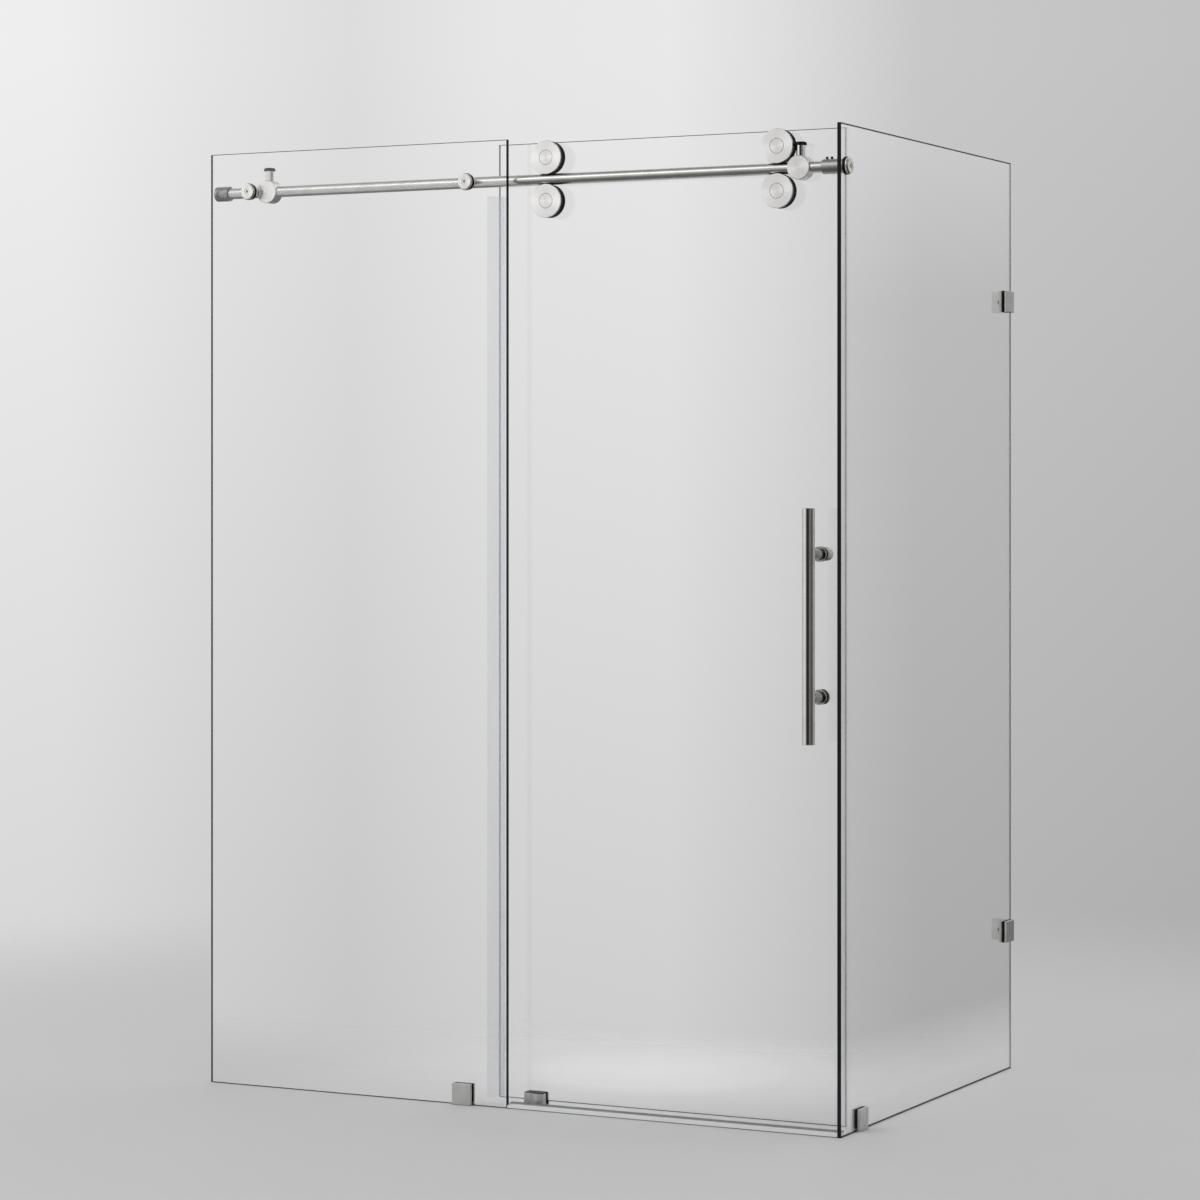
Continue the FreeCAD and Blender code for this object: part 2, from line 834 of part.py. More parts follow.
def wheel(label):
    """Black wheel with a round groove that follows the rail, and a seat for its bearing."""
    lip_radius = s.bearing_dia / 2 - s.bearing_lip
    profile = (
        (lip_radius, NONE),
        (wheel_radius, NONE),
        (wheel_radius, wheel_width),
        (seat_radius, wheel_width),
        (seat_radius, seat_start),
        (lip_radius, seat_start),
    )
    body = turned(label, profile)
    before = body.Shape.Volume
    sketch = new_sketch(body, "XZ_Plane")
    circles(sketch, [(roller_rise, wheel_half)], 2 * groove_radius)
    groove = body.newObject("PartDesign::Groove", label + "_groove")
    groove.Profile = sketch
    groove.ReferenceAxis = (sketch, ["V_Axis"])
    groove.Angle = 360
    doc.recompute()
    if body.Shape.Volume > before - NEAR:
        raise ValueError(label + ": the groove took nothing away")
    return body


def face_disc(label):
    """Bevelled stainless disc on the wheel's front, open in the middle for the axle's hub."""
    hole = s.hub_dia / 2 + s.hub_gap
    profile = (
        (hole, NONE),
        (disc_radius, NONE),
        (disc_radius, s.disc_depth - s.disc_bevel),
        (disc_radius - s.disc_bevel, s.disc_depth),
        (hole, s.disc_depth),
    )
    return turned(label, profile)


def bearing(label):
    """Ball bearing with its two races and sunk shields."""
    inner = s.bearing_bore / 2
    outer = s.bearing_dia / 2
    far = s.bearing_width
    profile = (
        (inner, NONE),
        (inner + s.race, NONE),
        (inner + s.race, s.shield_recess),
        (outer - s.race, s.shield_recess),
        (outer - s.race, NONE),
        (outer, NONE),
        (outer, far),
        (outer - s.race, far),
        (outer - s.race, far - s.shield_recess),
        (inner + s.race, far - s.shield_recess),
        (inner + s.race, far),
        (inner, far),
    )
    return turned(label, profile)


def axle(label):
    """Hub cap, shoulder and shaft in one, from the disc's face to the cap behind the glass."""
    shoulder = s.axle_shoulder_dia / 2
    to_bearing = s.disc_depth + seat_start
    end = door_back + s.gasket + s.axle_bite - disc_front
    profile = (
        (NONE, NONE),
        (s.hub_dia / 2, NONE),
        (s.hub_dia / 2, s.hub_depth),
        (shoulder, s.hub_depth),
        (shoulder, to_bearing),
        (axle_radius, to_bearing),
        (axle_radius, end),
        (NONE, end),
    )
    return turned(label, profile)


def spacer(label):
    """Flanged tube that holds the bearing's inner race off the glass."""
    length = door_front - s.gasket - bearing_back
    profile = (
        (axle_bore, NONE),
        (s.spacer_dia / 2, NONE),
        (s.spacer_dia / 2, length - s.spacer_flange),
        (s.spacer_flange_dia / 2, length - s.spacer_flange),
        (s.spacer_flange_dia / 2, length),
        (axle_bore, length),
    )
    return turned(label, profile)


def back_cap(label):
    """Round nut on the axle's end behind the glass."""
    radius = s.back_cap_dia / 2
    floor = s.axle_bite + s.fit_gap
    profile = (
        (axle_bore, NONE),
        (radius, NONE),
        (radius, s.back_cap_depth - s.back_cap_bevel),
        (radius - s.back_cap_bevel, s.back_cap_depth),
        (NONE, s.back_cap_depth),
        (NONE, floor),
        (axle_bore, floor),
    )
    return turned(label, profile)


axles = []
spacers = []
roller_bushes = []
back_caps = []
for name, x, z in rollers:
    place(keep(wheel("roller_wheel_" + name)), x, wheel_front, z, "rear")
    place(keep(face_disc("roller_disc_" + name)), x, wheel_front, z, "front")
    place(keep(bearing("roller_bearing_" + name)), x, wheel_front + seat_start, z, "rear")
    axles.append(place(axle("roller_axle_" + name), x, disc_front, z, "rear"))
    spacers.append(place(spacer("roller_spacer_" + name), x, bearing_back, z, "rear"))
    front_bush = bush("roller_bush_front_" + name, axle_dia, s.spacer_flange_dia)
    roller_bushes.append(place(front_bush, x, door_front - s.gasket, z, "rear"))
    rear_bush = bush("roller_bush_rear_" + name, axle_dia, s.back_cap_dia)
    roller_bushes.append(place(rear_bush, x, door_back + s.gasket, z, "front"))
    back_caps.append(place(back_cap("roller_back_cap_" + name), x, door_back + s.gasket, z, "rear"))
keep(grouped("roller_axles", axles))
keep(grouped("roller_spacers", spacers))
keep(grouped("roller_gaskets", roller_bushes))
keep(grouped("roller_back_caps", back_caps))


# Handle: a round bar on two posts outside, a knob and a flat cap inside

bar_radius = s.bar_dia / 2
bar_profile = (
    (NONE, NONE),
    (bar_radius - s.bar_bevel, NONE),
    (bar_radius, s.bar_bevel),
    (bar_radius, s.bar_length - s.bar_bevel),
    (bar_radius - s.bar_bevel, s.bar_length),
    (NONE, s.bar_length),
)
bar = keep(turned("handle_bar", bar_profile))
bar_low = s.handle_height - s.bar_length / 2
drill(bar, "XZ_Plane", [(NONE, height - bar_low) for height in post_heights], 2 * bore(s.stud_dia))
place(bar, handle_x, bar_y, bar_low)


def handle_post(label):
    """Post from the bar to the glass, hollowed to the bar's round and collared at the glass."""
    hole = bore(s.stud_dia)
    end = s.handle_reach - s.handle_pad
    collar_at = end - s.post_collar
    neck = s.post_dia / 2 - s.post_groove_depth
    profile = (
        (hole, NONE),
        (s.post_dia / 2, NONE),
        (s.post_dia / 2, collar_at - s.post_groove),
        (neck, collar_at - s.post_groove),
        (neck, collar_at),
        (s.post_collar_dia / 2, collar_at),
        (s.post_collar_dia / 2, end),
        (hole, end),
    )
    body = turned(label, profile)
    drill(body, "XZ_Plane", [(NONE, NONE)], 2 * (bar_radius + s.fit_gap), both=True)
    return body


posts = []
studs = []
handle_bushes = []
handle_washers = []
stud_start = bar_radius - s.stud_bite
stud_length = s.handle_reach + s.glass + s.gasket + s.stud_end - stud_start
for name, height in zip(("lower", "upper"), post_heights):
    posts.append(place(handle_post("handle_post_" + name), handle_x, bar_y, height, "rear"))
    stud = turned("handle_stud_" + name, rectangle(NONE, NONE, s.stud_dia / 2, stud_length))
    studs.append(place(stud, handle_x, bar_y + stud_start, height, "rear"))
    outer = bush("handle_bush_" + name, s.stud_dia, s.post_collar_dia, s.handle_pad)
    handle_bushes.append(place(outer, handle_x, door_front - s.handle_pad, height, "rear"))
    inner = bush("handle_washer_" + name, s.stud_dia, s.post_collar_dia)
    handle_washers.append(place(inner, handle_x, door_back + s.gasket, height, "front"))
keep(grouped("handle_posts", posts))
keep(grouped("handle_studs", studs))
keep(grouped("handle_gaskets", handle_bushes))
keep(grouped("handle_washers", handle_washers))

knob_radius = s.knob_dia / 2
flat_radius = s.post_collar_dia / 2
stud_floor = s.stud_end + s.fit_gap
neck_end = s.knob_base + s.knob_neck
knob_profile = (
    (bore(s.stud_dia), NONE),
    (knob_radius, NONE),
    (knob_radius, s.knob_base),
    (s.knob_neck_dia / 2, s.knob_base),
    (s.knob_neck_dia / 2, neck_end),
    (knob_radius, neck_end),
    (knob_radius, s.knob_depth),
    (NONE, s.knob_depth),
    (NONE, stud_floor),
    (bore(s.stud_dia), stud_floor),
)
knob = keep(turned("handle_knob_inner", knob_profile))
dress(knob, "Fillet", rim(knob_radius, s.knob_depth), s.knob_round)
place(knob, handle_x, door_back + s.gasket, post_heights[1], "rear")

flat_profile = (
    (bore(s.stud_dia), NONE),
    (flat_radius, NONE),
    (flat_radius, s.flat_cap_depth - s.flat_cap_bevel),
    (flat_radius - s.flat_cap_bevel, s.flat_cap_depth),
    (NONE, s.flat_cap_depth),
    (NONE, stud_floor),
    (bore(s.stud_dia), stud_floor),
)
flat_cap = keep(turned("handle_cap_inner", flat_profile))
place(flat_cap, handle_x, door_back + s.gasket, post_heights[0], "rear")


# Clamps: two plates grip the glass between thin pads, pulled together by a sunk screw

pads = []
clamp_screws = []
screw_bore = bore(s.clamp_screw_dia)
screw_length = s.clamp_plate + clamp_grip + s.clamp_screw_bite


def clamp_face(width, low, height):
    return rectangle(-width / 2, low, width / 2, height)


def outer_plate(label, width, height, rise):
    """Plain plate outside the glass, threaded from its back for the clamp's screw."""
    body = padded(label, clamp_face(width, NONE, height), s.clamp_plate)
    dress(body, "Fillet", lies_at(s.clamp_plate), s.clamp_round)
    depth = s.clamp_screw_bite + s.seat_gap
    drill(body, "XY_Plane", [(NONE, rise)], 2 * screw_bore, depth, reverse=True)
    return keep(body)


def inner_floor_plate(label):
    """Plate inside the glass with a tongue under it that is screwed to the floor."""
    size = s.floor_clamp
    body = padded(label, clamp_face(size, NONE, size), s.clamp_plate)
    dress(body, "Fillet", lies_at(s.clamp_plate), s.clamp_round)
    sketch = new_sketch(body, "XY_Plane")
    outline(sketch, clamp_face(s.tongue_width, NONE, s.tongue_height))
    tongue = body.newObject("PartDesign::Pad", label + "_tongue")
    tongue.Profile = sketch
    tongue.Reversed = True
    bind(tongue, "Length", clamp_grip)
    doc.recompute()
    drill(body, "XZ_Plane", [(NONE, -clamp_grip / 2)], s.floor_screw_hole)
    drill(body, "XY_Plane", [(NONE, s.clamp_screw_rise)], 2 * screw_bore, reverse=True)
    dress(body, "Chamfer", rim(screw_bore, s.clamp_plate), s.clamp_screw_sink)
    return keep(body)


def clamp_pad(label, width, low, height, rise):
    body = padded(label, clamp_face(width, low, height), s.pad)
    drill(body, "XY_Plane", [(NONE, rise)], 2 * screw_bore, reverse=True)
    return body


def clamp_screw(label):
    """Countersunk screw, its head's face at its own Z zero."""
    shank = s.clamp_screw_dia / 2
    profile = (
        (NONE, -screw_length),
        (shank, -screw_length),
        (shank, -s.clamp_screw_sink),
        (shank + s.clamp_screw_sink, NONE),
        (NONE, NONE),
    )
    body = turned(label, profile)
    hex_socket(body, s.clamp_key, s.clamp_key_depth, NONE)
    return body


def fit_clamp(name, x_out, y_out, x_in, y_in, z, outward, inward, size, low, rise):
    """Pads and screw of one clamp, seated on both faces of the glass."""
    width, height = size
    outer_pad = clamp_pad(name + "_pad_outer", width, low, height, rise)
    pads.append(place(outer_pad, x_out, y_out, z, outward))
    inner_pad = clamp_pad(name + "_pad_inner", width, low, height, rise)
    pads.append(place(inner_pad, x_in, y_in, z, inward))
    screw = clamp_screw(name + "_screw")
    reach = s.pad + s.clamp_plate
    if inward == "rear":
        place(screw, x_in, y_in + reach, z + rise, inward)
    else:
        place(screw, x_in - reach, y_in, z + rise, inward)
    clamp_screws.append(screw)


square = (s.floor_clamp, s.floor_clamp)
pad_low = s.tongue_height + s.notch_gap

plate = outer_plate("floor_clamp_front_outer", s.floor_clamp, s.floor_clamp, s.clamp_screw_rise)
place(plate, clamp_front_x, -s.pad, NONE, "front")
place(inner_floor_plate("floor_clamp_front_inner"), clamp_front_x, s.glass + s.pad, NONE, "rear")
fit_clamp(
    "floor_clamp_front", clamp_front_x, NONE, clamp_front_x, s.glass, NONE,
    "front", "rear", square, pad_low, s.clamp_screw_rise,
)

clamp_side_y = s.floor_clamp_side_inset
plate = outer_plate("floor_clamp_side_outer", s.floor_clamp, s.floor_clamp, s.clamp_screw_rise)
place(plate, s.front_width + s.pad, clamp_side_y, NONE, "right")
place(inner_floor_plate("floor_clamp_side_inner"), side_inner - s.pad, clamp_side_y, NONE, "left")
fit_clamp(
    "floor_clamp_side", s.front_width, clamp_side_y, side_inner, clamp_side_y, NONE,
    "right", "left", square, pad_low, s.clamp_screw_rise,
)


def wall_bracket(label):
    """Angle with one leg on the rear wall and one along the inside of the side glass."""
    near = -s.pad
    far = -s.pad - s.clamp_plate
    corners = (
        (near, NONE),
        (-s.wall_leg, NONE),
        (-s.wall_leg, -s.clamp_plate),
        (far, -s.clamp_plate),
        (far, -s.wall_clamp_reach),
        (near, -s.wall_clamp_reach),
    )
    body = padded(label, corners, s.wall_clamp)
    middle = s.wall_clamp / 2
    leg_middle = (near - s.wall_leg) / 2
    drill(body, "XZ_Plane", [(leg_middle, middle)], s.wall_screw_hole, reverse=True)
    drill(body, "YZ_Plane", [(-s.wall_clamp_reach / 2, middle)], 2 * screw_bore)
    near_face = far.value
    dress(body, "Chamfer", lambda edge: is_hole_rim(edge, screw_bore, near_face), s.clamp_screw_sink)
    return keep(body)


def is_hole_rim(edge, radius, x):
    """True for a round rim of this radius that lies across X at x."""
    box = edge.BoundBox
    flat = abs(box.XMin - x) < NEAR and abs(box.XMax - x) < NEAR
    return flat and abs(edge.Length - 2 * math.pi * radius.value) < ROUGH


wall_plate_width = s.wall_clamp_reach - 2 * s.seat_gap
for level, height in zip(("lower", "upper"), wall_clamp_heights):
    low = height - s.wall_clamp / 2
    name = "wall_clamp_" + level
    place(wall_bracket(name + "_bracket"), side_inner, s.side_depth, low)
    plate = outer_plate(name + "_plate", wall_plate_width, s.wall_clamp, s.wall_clamp / 2)
    place(plate, s.front_width + s.pad, wall_screw_y, low, "right")
    fit_clamp(
        name, s.front_width, wall_screw_y, side_inner, wall_screw_y, low,
        "right", "left", (wall_plate_width, s.wall_clamp), NONE, s.wall_clamp / 2,
    )
keep(grouped("clamp_pads", pads))
keep(grouped("clamp_screws", clamp_screws))


# Floor guide that the door's foot runs through, and the sill beside it

channel_half = s.glass / 2 + s.liner_play + s.liner_wall
half_length = s.guide_length / 2
guide_face = -channel_half - s.guide_front
guide_back = channel_half + s.guide_rear
guide_screws = [(-s.guide_screw_pitch / 2, NONE), (s.guide_screw_pitch / 2, NONE)]


def guide_outline(inset):
    """The guide from above: its face is flat on the left and bulges on the right."""
    right = half_length - inset
    face = guide_face + inset
    back = guide_back - inset
    middle = s.guide_flat / 2
    chord = right - middle
    radius = (chord * chord + s.guide_bulge * s.guide_bulge) / (2 * s.guide_bulge)
    return (
        (-right, face),
        (middle - chord, face),
        (right, face, middle, face - s.guide_bulge + radius),
        (right, back),
        (-right, back),
    )


guide = keep(padded("door_guide_body", guide_outline(NONE), s.guide_height))
dress(guide, "Fillet", lies_at(s.guide_height), s.clamp_round)
channel = new_sketch(guide, "YZ_Plane")
channel_top = s.guide_height + s.overrun
outline(channel, rectangle(-channel_half, s.guide_floor, channel_half, channel_top))
cut(guide, channel, both=True)
drill(guide, "XY_Plane", guide_screws, s.guide_screw_hole, reverse=True)
place(guide, guide_x, door_middle, NONE)

# Its black liner fills the channel and covers the top with a thin lid
liner_height = s.guide_height - s.guide_floor
liner_half = channel_half - s.liner_wall
liner_foot = rectangle(-half_length, -channel_half, half_length, channel_half)
liner = keep(padded("door_guide_liner", liner_foot, liner_height))
lid_sketch = new_sketch(liner, "XY_Plane", liner_height)
outline(lid_sketch, guide_outline(s.clamp_round))
lid = liner.newObject("PartDesign::Pad", "door_guide_lid")
lid.Profile = lid_sketch
bind(lid, "Length", s.liner_lid)
doc.recompute()
slit = new_sketch(liner, "YZ_Plane")
slit_top = liner_height + s.liner_lid + s.overrun
outline(slit, rectangle(-liner_half, s.liner_wall, liner_half, slit_top))
cut(liner, slit, both=True)
drill(liner, "XY_Plane", guide_screws, s.guide_screw_hole, reverse=True)
place(liner, guide_x, door_middle, s.guide_floor)

sill_corners = (
    (NONE, NONE),
    (s.sill_depth, NONE),
    (s.sill_depth, s.sill_back),
    (s.sill_depth - s.sill_crest, s.sill_back),
    (NONE, s.sill_front),
)
sill_length = side_inner - s.fixed_width - 2 * s.seat_gap
sill = keep(padded("sill_strip", sill_corners, sill_length))
place(sill, s.fixed_width + s.seat_gap, NONE, NONE, "right")


# Clear seals on the door's two upright edges

grip = s.seal_grip
wall = s.seal_wall
tip = -s.fin_lean
trailing_corners = (
    (tip, -fin_reach),
    (tip + s.fin_tip, -fin_reach),
    (NONE, -wall),
    (grip, -wall),
    (grip, NONE),
    (NONE, NONE),
    (NONE, s.glass),
    (grip, s.glass),
    (grip, s.glass + wall),
    (-wall, s.glass + wall),
    (-wall, -wall),
)
trailing_low = s.door_lift + s.fin_rise
trailing_top = rail_z - half_rail - s.fin_rail_gap
trailing = keep(padded("trailing_seal", trailing_corners, trailing_top - trailing_low))
place(trailing, door_left, door_front, trailing_low)

lead_reach = s.door_side_gap - s.lead_gap
lead_near = (s.glass - s.lead_fin) / 2
lead_far = (s.glass + s.lead_fin) / 2
leading_corners = (
    (-grip, -wall),
    (wall, -wall),
    (wall, lead_near),
    (lead_reach, lead_near),
    (lead_reach, lead_far),
    (wall, lead_far),
    (wall, s.glass + wall),
    (-grip, s.glass + wall),
    (-grip, s.glass),
    (NONE, s.glass),
    (NONE, NONE),
    (-grip, NONE),
)
leading_low = s.door_lift - s.lead_drop
leading = keep(padded("leading_seal", leading_corners, door_top - leading_low))
place(leading, door_right, door_front, leading_low)


# Check every object, then write one file per piece

doc.recompute()
for item in doc.Objects:
    if "Invalid" in item.State or "Error" in item.State:
        raise ValueError(item.Label + ": " + ", ".join(item.State))
os.makedirs("parts", exist_ok=True)
for item in parts:
    if item.Shape.isNull() or not item.Shape.isValid():
        raise ValueError(item.Label + ": no valid shape")
for item in parts:
    item.Shape.exportStep("parts/" + item.Label + ".step")
print("%d pieces, door travel %.1f mm" % (len(parts), door_travel.value))
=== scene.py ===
import math

import bpy
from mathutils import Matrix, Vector


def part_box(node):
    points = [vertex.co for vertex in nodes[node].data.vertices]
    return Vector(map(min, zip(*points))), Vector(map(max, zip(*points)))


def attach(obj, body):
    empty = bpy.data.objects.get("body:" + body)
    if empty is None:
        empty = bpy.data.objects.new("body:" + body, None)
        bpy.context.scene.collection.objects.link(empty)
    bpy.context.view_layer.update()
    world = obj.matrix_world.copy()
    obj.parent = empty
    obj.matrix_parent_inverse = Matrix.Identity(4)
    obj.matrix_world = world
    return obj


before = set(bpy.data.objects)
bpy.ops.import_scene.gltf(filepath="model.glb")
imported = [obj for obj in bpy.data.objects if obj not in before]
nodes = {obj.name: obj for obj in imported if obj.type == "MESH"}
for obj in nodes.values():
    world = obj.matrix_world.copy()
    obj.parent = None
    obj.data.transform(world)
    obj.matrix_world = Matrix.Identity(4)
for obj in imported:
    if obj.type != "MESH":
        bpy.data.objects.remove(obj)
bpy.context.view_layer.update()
scene = bpy.context.scene
bpy.ops.object.select_all(action="DESELECT")

MM = 0.001
ALONG_X = (1.0, 0.0, 0.0)
ALONG_Y = (0.0, 1.0, 0.0)
QUARTER_TURN = math.radians(90.0)


# Camera, fitted to the corners of the three panes

camera_data = bpy.data.cameras.new("camera")
camera_data.sensor_width = 36.0
camera_data.lens = 105.51
camera_data.shift_y = -0.0853
camera_data.clip_end = 100.0
camera = bpy.data.objects.new("camera", camera_data)
camera.location = (3.2734, -6.5088, 1.1977)
camera.rotation_euler = (QUARTER_TURN, 0.0, math.radians(26.939))
scene.collection.objects.link(camera)
scene.camera = camera
scene.view_settings.view_transform = "Standard"


# What all materials are made with

# Sockets of a Mix node that mixes colours
SHARE, FIRST, SECOND, MIXED = 0, 6, 7, 2
# Two noises added together run mostly between these values
SUM_LOW, SUM_HIGH = 0.7, 1.3
# Bump at full strength, so that its distance is the depth of the marks
FULL = 1.0


def linear(colour):
    """The linear values of an sRGB hex colour."""
    channels = [int(colour[start:start + 2], 16) / 255.0 for start in (1, 3, 5)]
    values = [c / 12.92 if c <= 0.04045 else ((c + 0.055) / 1.055) ** 2.4 for c in channels]
    return (*values, 1.0)


def add(tree, kind, inputs=None, **settings):
    """One node with its settings. Each input is linked to a socket or given a value."""
    node = tree.nodes.new("ShaderNode" + kind)
    for name, value in settings.items():
        setattr(node, name, value)
    for key, value in (inputs or {}).items():
        if isinstance(value, bpy.types.NodeSocket):
            tree.links.new(value, node.inputs[key])
        else:
            node.inputs[key].default_value = value
    return node


def new_material(name, **values):
    """A material with its shader's even values: its tree, its shader and its object place."""
    material = bpy.data.materials.new(name)
    material.use_nodes = True
    tree = material.node_tree
    shader = tree.nodes["Principled BSDF"]
    for socket, value in values.items():
        shader.inputs[socket.replace("_", " ")].default_value = value
    place = add(tree, "TexCoord").outputs["Object"]
    return material, tree, shader, place


def connect(tree, shader, **outputs):
    """Link an output to each of the shader's sockets that are named."""
    for socket, output in outputs.items():
        tree.links.new(output, shader.inputs[socket.replace("_", " ")])


def drawn_out(tree, place, lengths, detail):
    """A pattern whose grain has a length of its own, in mm, on each axis."""
    scale = tuple(1.0 / (length * MM) for length in lengths)
    stretched = add(tree, "Mapping", {"Vector": place, "Scale": scale}).outputs[0]
    grain = add(tree, "TexNoise", {"Vector": stretched, "Scale": 1.0, "Detail": detail})
    return grain.outputs["Fac"]


# Metals

# Lowest and highest roughness of turned steel: as it is turned, polished, and polished bright
TURNED, POLISHED, BRIGHT = (0.24, 0.32), (0.1, 0.16), (0.06, 0.1)


def lathe_turned_stainless(
    name, centre, axis, dark, light, rough=TURNED, spread=(0.0, 0.0, 0.0),
):
    """Stainless steel faced and turned on a lathe. The tool leaves rings about the piece's axis,
    and they draw every highlight out into a bright cone that crosses the centre.
    Where a node holds several like pieces, spread is how far they stand from the middle of all."""
    material, tree, shader, place = new_material(name, Metallic=1.0, Anisotropic=0.7)
    offset = add(tree, "VectorMath", {0: place, 1: centre}, operation="SUBTRACT").outputs[0]
    sign = add(tree, "VectorMath", {0: offset}, operation="SIGN").outputs[0]
    side = add(tree, "VectorMath", {0: sign, 1: spread}, operation="MULTIPLY").outputs[0]
    own = add(tree, "VectorMath", {0: offset, 1: side}, operation="SUBTRACT").outputs[0]
    along = add(tree, "VectorMath", {0: own, 1: axis}, operation="DOT_PRODUCT").outputs["Value"]
    lay = add(tree, "VectorMath", {0: axis, 1: own}, operation="CROSS_PRODUCT").outputs[0]
    radius = add(tree, "VectorMath", {0: lay}, operation="LENGTH").outputs["Value"]
    profile = add(tree, "CombineXYZ", {0: radius, 1: along}).outputs[0]

    # Tool marks are some 0.15 mm apart, drawn 0.9 mm apart because finer ones don't show
    pitch, groove_depth = 0.9 * MM, 0.004 * MM
    marks = add(tree, "TexNoise", {
        "Vector": profile, "Scale": 1.0 / pitch, "Detail": 2.0, "Roughness": 0.5,
    }).outputs["Fac"]
    # Slow shades from the cleaning after turning, about a thumb's width
    smear = 14.0 * MM
    clouds = add(tree, "TexNoise", {
        "Vector": own, "Scale": 1.0 / smear, "Detail": 2.0,
    }).outputs["Fac"]
    both = add(tree, "Math", {0: marks, 1: clouds}, operation="ADD").outputs[0]
    shade = add(tree, "MapRange", {
        "Value": both, "From Min": SUM_LOW, "From Max": SUM_HIGH,
    }).outputs[0]
    colour = add(tree, "Mix", {
        SHARE: shade, FIRST: linear(dark), SECOND: linear(light),
    }, data_type="RGBA").outputs[MIXED]
    gloss = add(tree, "MapRange", {
        "Value": marks, "To Min": rough[0], "To Max": rough[1],
    }).outputs[0]
    world_lay = add(
        tree, "VectorTransform", {0: lay},
        vector_type="VECTOR", convert_from="OBJECT", convert_to="WORLD",
    ).outputs[0]
    grooves = add(tree, "Bump", {
        "Strength": FULL, "Distance": groove_depth, "Height": marks,
    }).outputs[0]
    connect(tree, shader, Base_Color=colour, Roughness=gloss, Tangent=world_lay, Normal=grooves)
    return material


def belt_ground_stainless(name, scratch, dark, light, rough):
    """Stainless steel with a satin finish from a grinding belt. Long fine scratches in one
    direction blur what it mirrors across them. The scratch is its length in mm on each axis. Real
    ones are some 0.1 mm wide, drawn over 1 mm wide because finer ones don't show."""
    material, tree, shader, place = new_material(name, Metallic=1.0)
    lines = drawn_out(tree, place, scratch, 3.0)
    # Faint shades where the belt was pressed more or less, a few centimetres across
    press, scratch_depth = 30.0 * MM, 0.01 * MM
    clouds = add(tree, "TexNoise", {
        "Vector": place, "Scale": 1.0 / press, "Detail": 1.0,
    }).outputs["Fac"]
    both = add(tree, "Math", {0: lines, 1: clouds}, operation="ADD").outputs[0]
    shade = add(tree, "MapRange", {
        "Value": both, "From Min": SUM_LOW, "From Max": SUM_HIGH,
    }).outputs[0]
    colour = add(tree, "Mix", {
        SHARE: shade, FIRST: linear(dark), SECOND: linear(light),
    }, data_type="RGBA").outputs[MIXED]
    gloss = add(tree, "MapRange", {
        "Value": lines, "To Min": rough[0], "To Max": rough[1],
    }).outputs[0]
    grooves = add(tree, "Bump", {
        "Strength": FULL, "Distance": scratch_depth, "Height": lines,
    }).outputs[0]
    connect(tree, shader, Base_Color=colour, Roughness=gloss, Normal=grooves)
    return material


def mirror_polished_stainless(name, haze):
    """Stainless pin stock, polished on a wheel until it mirrors, with the faintest haze left along
    it. The haze is its length in mm on each axis. Its streaks are finer than a hair, drawn 2 mm
    wide so that they show."""
    material, tree, shader, place = new_material(name, Metallic=1.0)
    veil = drawn_out(tree, place, haze, 2.0)
    colour = add(tree, "Mix", {
        SHARE: veil, FIRST: linear("#D9D8D6"), SECOND: linear("#E9E8E7"),
    }, data_type="RGBA").outputs[MIXED]
    gloss = add(tree, "MapRange", {"Value": veil, "To Min": 0.04, "To Max": 0.09}).outputs[0]
    connect(tree, shader, Base_Color=colour, Roughness=gloss)
    return material


def black_oxide_steel(name):
    """Hardened screw steel, blackened in a hot bath: dark with a dull shine, greyer where a key
    wore it."""
    material, tree, shader, place = new_material(name, Metallic=0.9)
    # Wear spots about 1 mm across
    wear = 1.0 * MM
    spots = add(tree, "TexNoise", {
        "Vector": place, "Scale": 1.0 / wear, "Detail": 3.0,
    }).outputs["Fac"]
    colour = add(tree, "Mix", {
        SHARE: spots, FIRST: linear("#1E1E1F"), SECOND: linear("#4A4A4B"),
    }, data_type="RGBA").outputs[MIXED]
    gloss = add(tree, "MapRange", {"Value": spots, "To Min": 0.3, "To Max": 0.5}).outputs[0]
    connect(tree, shader, Base_Color=colour, Roughness=gloss)
    return material


# Rubber, plastic and glass

def moulded_black(name, ior, gleam, dark, light, rough, grain, depth):
    """Black rubber or nylon from a mould, with the skin of the mould: fine pits that dull its
    shine. The grain and the depth of the pits are in mm. Real pits are some 0.2 mm wide, and the
    grain is coarser so that it shows."""
    material, tree, shader, place = new_material(name, IOR=ior, Specular_IOR_Level=gleam)
    pits = add(tree, "TexNoise", {
        "Vector": place, "Scale": 1.0 / (grain * MM), "Detail": 2.0,
    }).outputs["Fac"]
    colour = add(tree, "Mix", {
        SHARE: pits, FIRST: linear(dark), SECOND: linear(light),
    }, data_type="RGBA").outputs[MIXED]
    gloss = add(tree, "MapRange", {
        "Value": pits, "To Min": rough[0], "To Max": rough[1],
    }).outputs[0]
    skin = add(tree, "Bump", {
        "Strength": FULL, "Distance": depth * MM, "Height": pits,
    }).outputs[0]
    connect(tree, shader, Base_Color=colour, Roughness=gloss, Normal=skin)
    return material


